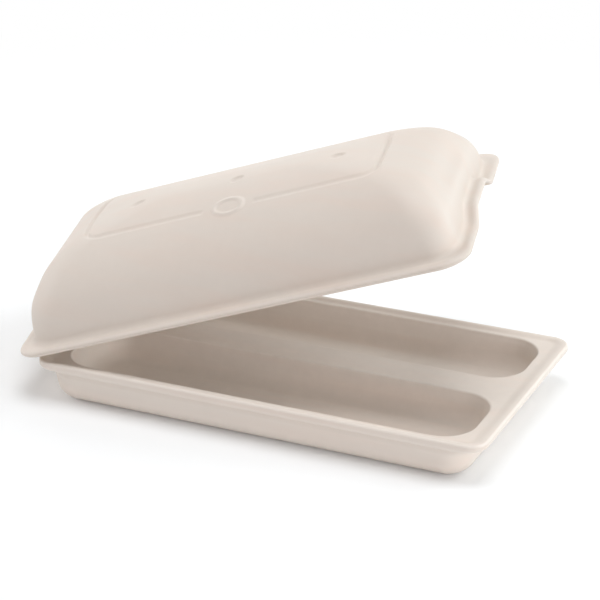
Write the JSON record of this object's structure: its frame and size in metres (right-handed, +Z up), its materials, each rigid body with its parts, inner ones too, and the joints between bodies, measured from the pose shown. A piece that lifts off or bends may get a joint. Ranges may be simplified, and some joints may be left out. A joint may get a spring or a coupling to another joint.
{
  "type": "bread cloche",
  "caption": "Glazed ceramic bread cloche: a low tray with long loaf troughs under a domed lid with a rim and raised end grips, held tilted above the tray.",
  "frame": {"origin": "centre of the tray's flat underside", "axes": "+X along the length of the troughs, towards the end that opens wide, +Y across towards the back, +Z up"},
  "size_m": [0.4488, 0.2829, 0.2054],
  "materials": {
    "tray_glaze": "satin glaze",
    "lid_glaze": "satin glaze"
  },
  "bodies": {
    "tray": {"tray": "tray_glaze"},
    "lid": {"lid": "lid_glaze"}
  },
  "joints": [
    {"name": "lid_lift", "type": "hinge", "parent": "tray", "child": "lid", "pos_m": [-0.1715, -0.1765, 0.0344], "axis": [0.2615, -0.7908, 0.5534], "range_deg": [-22, 18]}
  ]
}
